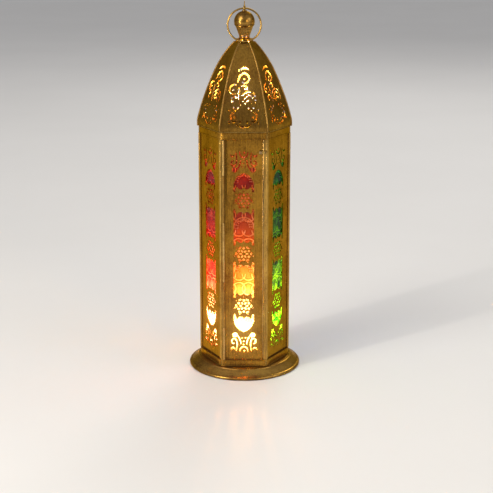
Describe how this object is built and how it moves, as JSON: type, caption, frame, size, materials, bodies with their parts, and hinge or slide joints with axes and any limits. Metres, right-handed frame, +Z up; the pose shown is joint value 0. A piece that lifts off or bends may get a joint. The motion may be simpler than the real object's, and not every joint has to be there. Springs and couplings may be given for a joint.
{
  "type": "ramadan fanous lantern",
  "caption": "Six-sided pierced brass fanous lantern on a round base, with coloured glass, a hinged front door, a petal roof, a domed finial with a hanging ring, and a tea light inside.",
  "frame": {"origin": "middle of the round base, in the plane that it stands on", "axes": "+Z up through the finial; the door and the amber pane face -Y; +X to the viewer's right"},
  "size_m": [0.12, 0.12, 0.3906],
  "materials": {
    "brass_sheet": "antique, hand polished with dark patina",
    "brass_trim": "antique, darker patina",
    "steel_wire": "plain drawn wire",
    "glass_amber": "pressed pattern",
    "glass_green": "pressed pattern",
    "glass_blue": "pressed pattern",
    "glass_violet": "pressed pattern",
    "glass_yellow": "pressed pattern",
    "glass_red": "pressed pattern",
    "cup_aluminium": "bright drawn foil",
    "candle_wax": "waxy",
    "wick_cotton": "charred cotton"
  },
  "bodies": {
    "lantern": {"base_tray": "brass_sheet", "floor_plate": "brass_trim", "bottom_frame": "brass_sheet", "top_frame": "brass_sheet", "corner_post_1": "brass_sheet", "corner_post_2": "brass_sheet", "corner_post_3": "brass_sheet", "corner_post_4": "brass_sheet", "corner_post_5": "brass_sheet", "corner_post_6": "brass_sheet", "panel_right": "brass_sheet", "panel_back_right": "brass_sheet", "panel_back": "brass_sheet", "panel_back_left": "brass_sheet", "panel_left": "brass_sheet", "glass_right": "glass_green", "glass_back_right": "glass_blue", "glass_back": "glass_violet", "glass_back_left": "glass_yellow", "glass_left": "glass_red", "clips_body": "brass_trim", "hinge_frame_leaf": "brass_trim", "hinge_pin": "steel_wire", "latch_peg": "steel_wire", "roof_petal_front": "brass_sheet", "roof_petal_right": "brass_sheet", "roof_petal_back_right": "brass_sheet", "roof_petal_back": "brass_sheet", "roof_petal_back_left": "brass_sheet", "roof_petal_left": "brass_sheet", "roof_rib_1": "brass_trim", "roof_rib_2": "brass_trim", "roof_rib_3": "brass_trim", "roof_rib_4": "brass_trim", "roof_rib_5": "brass_trim", "roof_rib_6": "brass_trim", "roof_collar": "brass_trim", "finial_neck": "brass_sheet", "finial_dome": "brass_sheet", "finial_eye": "brass_trim", "eye_nut": "steel_wire", "candle_holder": "brass_trim"},
    "door": {"door_panel": "brass_sheet", "glass_front": "glass_amber", "clips_door": "brass_trim", "hinge_door_leaf": "brass_trim", "latch_rivet": "steel_wire"},
    "latch": {"latch_hook": "brass_trim"},
    "ring": {"hanging_ring": "brass_trim"},
    "tealight": {"tealight_cup": "cup_aluminium", "tealight_wax": "candle_wax", "tealight_wick": "wick_cotton"}
  },
  "joints": [
    {"name": "door_hinge", "type": "hinge", "parent": "lantern", "child": "door", "pos_m": [-0.02077, -0.0428, 0.136], "axis": [0, 0, -1], "range_deg": [0, 110]},
    {"name": "latch_pivot", "type": "hinge", "parent": "door", "child": "latch", "pos_m": [0.0174, -0.0415, 0.242], "axis": [0, -1, 0], "range_deg": [0, 100]},
    {"name": "ring_swing", "type": "hinge", "parent": "lantern", "child": "ring", "pos_m": [0, 0, 0.38289], "axis": [-1, 0, 0], "range_deg": [0, 326]},
    {"name": "tealight_lift", "type": "slide", "parent": "lantern", "child": "tealight", "axis": [0, 0, 1], "range_m": [0, 0.03]}
  ]
}
